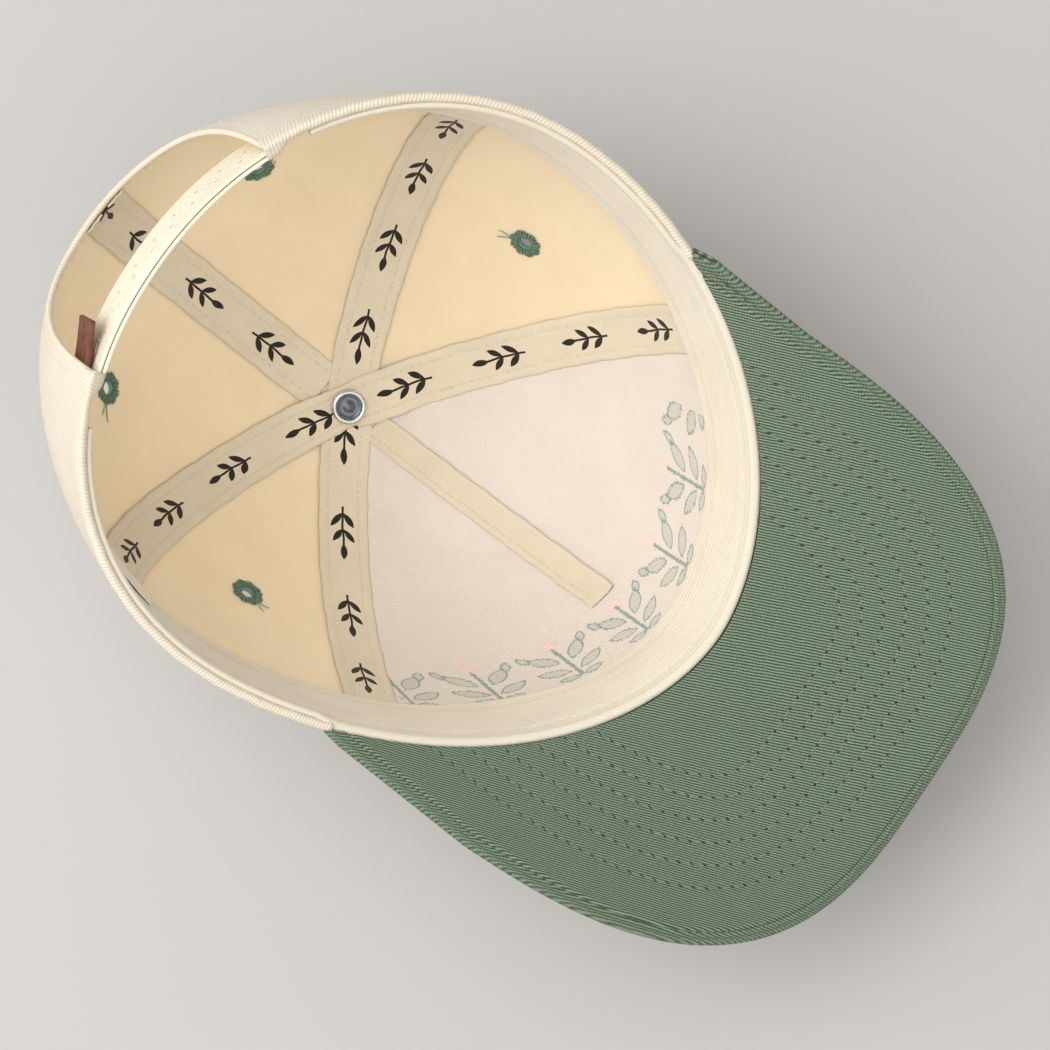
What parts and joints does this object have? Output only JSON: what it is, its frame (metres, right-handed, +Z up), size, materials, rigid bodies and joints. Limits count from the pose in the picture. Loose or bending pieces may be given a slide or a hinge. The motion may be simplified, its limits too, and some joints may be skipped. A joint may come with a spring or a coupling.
{
  "type": "baseball cap",
  "caption": "Structured cotton baseball cap with a curved peak, taped seams, a sweatband and a plastic snap strap, lying upside down on its crown.",
  "frame": {"origin": "on the ground, under the middle of the cap's bounding box", "axes": "+Z up from the crown, which lies on the ground, towards the open rim; +Y from the peak towards the strap at the back; +X to the wearer's right"},
  "size_m": [0.1754, 0.277, 0.139],
  "materials": {
    "cream_twill": "matt cotton twill",
    "lining_net": "stiff woven net",
    "seam_tape": "flat cotton tape",
    "band_cotton": "soft cotton",
    "label_white": "smooth woven label",
    "sage_twill": "matt cotton twill",
    "sage_thread": "stitched thread",
    "cream_plastic": "glossy moulded",
    "brown_leather": "satin",
    "rivet_steel": "polished"
  },
  "bodies": {
    "root": {"front_panel": "cream_twill", "side_panel_right": "cream_twill", "back_panel_right": "cream_twill", "back_panel_left": "cream_twill", "side_panel_left": "cream_twill", "front_lining": "lining_net", "tape_over_top": "seam_tape", "tape_under_top": "seam_tape", "tape_back": "seam_tape", "tape_dart": "seam_tape", "sweatband": "band_cotton", "size_label": "label_white", "peak_top_cloth": "sage_twill", "peak_under_cloth": "sage_twill", "strap_holed": "cream_plastic", "strap_studded": "cream_plastic", "leather_tab": "brown_leather", "eyelet_side_right": "sage_thread", "eyelet_side_left": "sage_thread", "eyelet_back_right": "sage_thread", "eyelet_back_left": "sage_thread", "crown_button": "sage_twill", "button_rivet": "rivet_steel"}
  },
  "joints": []
}
